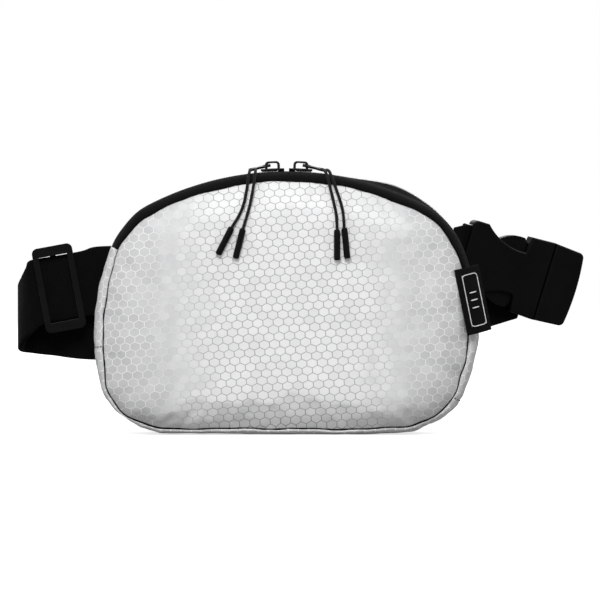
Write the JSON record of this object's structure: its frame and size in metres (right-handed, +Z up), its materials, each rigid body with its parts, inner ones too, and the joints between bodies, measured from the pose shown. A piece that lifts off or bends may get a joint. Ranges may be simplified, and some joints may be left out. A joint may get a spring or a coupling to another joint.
{
  "type": "waist pack",
  "caption": "Zipped waist pack of silver-white honeycomb ripstop with a black curved top zipper, cord pulls, webbing belt, tri-glide and side-release buckle.",
  "frame": {"origin": "on the resting face of the bottom gusset, below the middle of the top zipper", "axes": "+Z up, the front panel faces -Y, +X to the side with the buckle"},
  "size_m": [0.306, 0.0814, 0.1446],
  "materials": {
    "shell_fabric": "honeycomb ripstop, silver white, satin sheen",
    "lining": "thin plain woven lining",
    "binding": "folded woven tape",
    "zipper_tape": "twill zipper tape",
    "zipper_coil": "moulded nylon coil",
    "label": "woven satin label with a plain woven border",
    "webbing": "ribbed polyester webbing",
    "buckle_plastic": "moulded acetal, fine matt texture",
    "glide_plastic": "moulded acetal, smooth",
    "slider_metal": "black painted zinc",
    "cord": "braided cord",
    "tip_plastic": "moulded tube tip"
  },
  "bodies": {
    "root": {"front_panel": "shell_fabric", "bottom_gusset": "shell_fabric", "rear_gusset_strip": "shell_fabric", "back_panel": "shell_fabric", "front_lining": "lining", "back_lining": "lining", "seam_binding_front": "binding", "seam_binding_rear": "binding", "zipper_tape_front": "zipper_tape", "zipper_tape_rear": "zipper_tape", "zipper_coil_front": "zipper_coil", "zipper_coil_rear": "zipper_coil", "side_label": "label", "waist_strap_anchor": "webbing", "waist_strap_outer": "webbing", "waist_strap_inner": "webbing", "buckle_tab": "webbing", "buckle_socket": "buckle_plastic"},
    "glide": {"tri_glide": "glide_plastic", "strap_end_loop": "webbing"},
    "plug": {"buckle_plug": "buckle_plastic", "strap_plug_loop": "webbing"},
    "prong_upper": {"buckle_prong_upper": "buckle_plastic"},
    "prong_lower": {"buckle_prong_lower": "buckle_plastic"},
    "slider_left": {"slider_left": "slider_metal"},
    "link_left": {"pull_link_left": "slider_metal"},
    "cords_left": {"pull_cord_left_outer": "cord", "pull_cord_left_inner": "cord", "cord_tip_left_outer": "tip_plastic", "cord_tip_left_inner": "tip_plastic"},
    "slider_right": {"slider_right": "slider_metal"},
    "link_right": {"pull_link_right": "slider_metal"},
    "cords_right": {"pull_cord_right_outer": "cord", "pull_cord_right_inner": "cord", "cord_tip_right_outer": "tip_plastic", "cord_tip_right_inner": "tip_plastic"}
  },
  "joints": [
    {"name": "tri_glide_slide", "type": "slide", "parent": "root", "child": "glide", "axis": [-0.9787, -0.0958, -0.1814], "range_m": [-0.0035, 0.001]},
    {"name": "plug_slide", "type": "slide", "parent": "root", "child": "plug", "axis": [0.9354, 0.2079, -0.286], "range_m": [0, 0.004]},
    {"name": "prong_upper_squeeze", "type": "hinge", "parent": "plug", "child": "prong_upper", "pos_m": [0.14065, 0.03812, 0.09238], "axis": [0.1988, -0.9781, -0.0608], "range_deg": [0, 12], "stiffness_Nm_per_rad": 0.12},
    {"name": "prong_lower_squeeze", "type": "hinge", "parent": "plug", "child": "prong_lower", "pos_m": [0.13363, 0.03812, 0.06943], "axis": [-0.1988, 0.9781, 0.0608], "range_deg": [0, 12], "stiffness_Nm_per_rad": 0.12},
    {"name": "slider_left_travel", "type": "hinge", "parent": "root", "child": "slider_left", "pos_m": [0, 0, -0.021], "axis": [0, -1, 0], "range_deg": [0, 21.5]},
    {"name": "link_left_lift", "type": "hinge", "parent": "slider_left", "child": "link_left", "pos_m": [-0.00911, 0, 0.14235], "axis": [0, 1, 0], "range_deg": [0, 100]},
    {"name": "cords_left_hang", "type": "hinge", "parent": "link_left", "child": "cords_left", "pos_m": [-0.01805, 0, 0.14018], "axis": [0, -1, 0], "range_deg": [0, 100]},
    {"name": "slider_right_travel", "type": "hinge", "parent": "root", "child": "slider_right", "pos_m": [0, 0, -0.021], "axis": [0, 1, 0], "range_deg": [0, 21.5]},
    {"name": "link_right_lift", "type": "hinge", "parent": "slider_right", "child": "link_right", "pos_m": [0.00911, 0, 0.14235], "axis": [0, -1, 0], "range_deg": [0, 100]},
    {"name": "cords_right_hang", "type": "hinge", "parent": "link_right", "child": "cords_right", "pos_m": [0.01805, 0, 0.14018], "axis": [0, 1, 0], "range_deg": [0, 100]}
  ],
  "couplings": [
    {"joint": "prong_upper_squeeze", "follows": "plug_slide", "rad_per_m": 52.316},
    {"joint": "prong_lower_squeeze", "follows": "plug_slide", "rad_per_m": 52.316},
    {"joint": "cords_left_hang", "follows": "link_left_lift", "ratio": 1},
    {"joint": "cords_right_hang", "follows": "link_right_lift", "ratio": 1}
  ]
}
